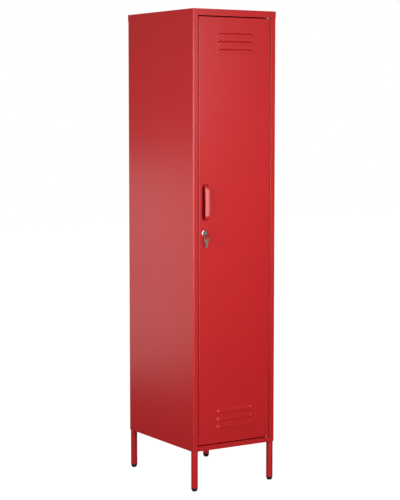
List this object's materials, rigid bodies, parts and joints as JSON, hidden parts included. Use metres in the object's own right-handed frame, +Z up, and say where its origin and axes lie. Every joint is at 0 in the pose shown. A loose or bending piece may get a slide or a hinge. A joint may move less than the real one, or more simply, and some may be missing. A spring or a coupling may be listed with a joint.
{
  "type": "metal locker",
  "caption": "Tall slim steel locker with a hinged louvred door, a pressed handle, a key lock and shelves inside, on four round legs.",
  "frame": {"origin": "floor level, at the middle of the overall box with the keys included", "axes": "+X to the right along the front, +Y from front to back, +Z up"},
  "size_m": [0.38, 0.522, 1.85],
  "materials": {
    "red_powder_coat": "semi-gloss",
    "zinc_plated_steel": "satin",
    "chromed_zinc": "polished",
    "nickel_plated_steel": "satin",
    "black_plastic": "matt",
    "nylon": "matt",
    "rubber": "matt"
  },
  "bodies": {
    "cabinet": {"top_cap": "red_powder_coat", "left_side_panel": "red_powder_coat", "right_side_panel": "red_powder_coat", "back_panel": "red_powder_coat", "back_panel_rivets": "red_powder_coat", "bottom_tray": "red_powder_coat", "hat_shelf": "red_powder_coat", "lower_shelf": "red_powder_coat", "hat_shelf_bracket_left": "red_powder_coat", "hat_shelf_bracket_right": "red_powder_coat", "lower_shelf_bracket_left": "red_powder_coat", "lower_shelf_bracket_right": "red_powder_coat", "hanging_rail": "zinc_plated_steel", "rail_socket_left": "zinc_plated_steel", "rail_socket_right": "zinc_plated_steel", "leg_nuts": "zinc_plated_steel", "upper_hinge_pin": "zinc_plated_steel", "lower_hinge_pin": "zinc_plated_steel", "lower_hinge_washer": "zinc_plated_steel", "door_buffers": "rubber", "leg_front_left": "red_powder_coat", "leg_front_right": "red_powder_coat", "leg_back_left": "red_powder_coat", "leg_back_right": "red_powder_coat", "foot_front_left": "black_plastic", "foot_front_right": "black_plastic", "foot_back_left": "black_plastic", "foot_back_right": "black_plastic", "leg_stud_front_left": "zinc_plated_steel", "leg_stud_front_right": "zinc_plated_steel", "leg_stud_back_left": "zinc_plated_steel", "leg_stud_back_right": "zinc_plated_steel", "corner_plate_front_left": "red_powder_coat", "corner_plate_front_right": "red_powder_coat", "corner_plate_back_left": "red_powder_coat", "corner_plate_back_right": "red_powder_coat"},
    "door": {"door_skin": "red_powder_coat", "door_stiffener": "red_powder_coat", "handle_cup": "red_powder_coat", "handle_hood": "red_powder_coat", "upper_hinge_bush": "nylon", "lower_hinge_bush": "nylon", "lock_housing": "chromed_zinc", "lock_nut": "zinc_plated_steel"},
    "lock_core": {"lock_plug": "chromed_zinc", "lock_cam": "zinc_plated_steel", "cam_screw": "zinc_plated_steel"},
    "key": {"door_key": "nickel_plated_steel"},
    "ring": {"key_ring": "nickel_plated_steel"},
    "hanging_key": {"spare_key": "nickel_plated_steel"}
  },
  "joints": [
    {"name": "door_hinge", "type": "hinge", "parent": "cabinet", "child": "door", "pos_m": [0.155, -0.23097, 0.175], "axis": [0, 0, 1], "range_deg": [0, 110]},
    {"name": "lock_turn", "type": "hinge", "parent": "door", "child": "lock_core", "pos_m": [-0.14, -0.23797, 1.001], "axis": [0, 1, 0], "range_deg": [0, 90]},
    {"name": "key_slide", "type": "slide", "parent": "lock_core", "child": "key", "axis": [0, -1, 0], "range_m": [0, 0.024]},
    {"name": "ring_swing", "type": "hinge", "parent": "key", "child": "ring", "pos_m": [-0.14, -0.25447, 0.9998], "axis": [-1, 0, 0], "range_deg": [-8, 60]},
    {"name": "hanging_key_swing", "type": "hinge", "parent": "ring", "child": "hanging_key", "pos_m": [-0.14, -0.25447, 0.9808], "axis": [-1, 0, 0], "range_deg": [-5, 60]}
  ]
}
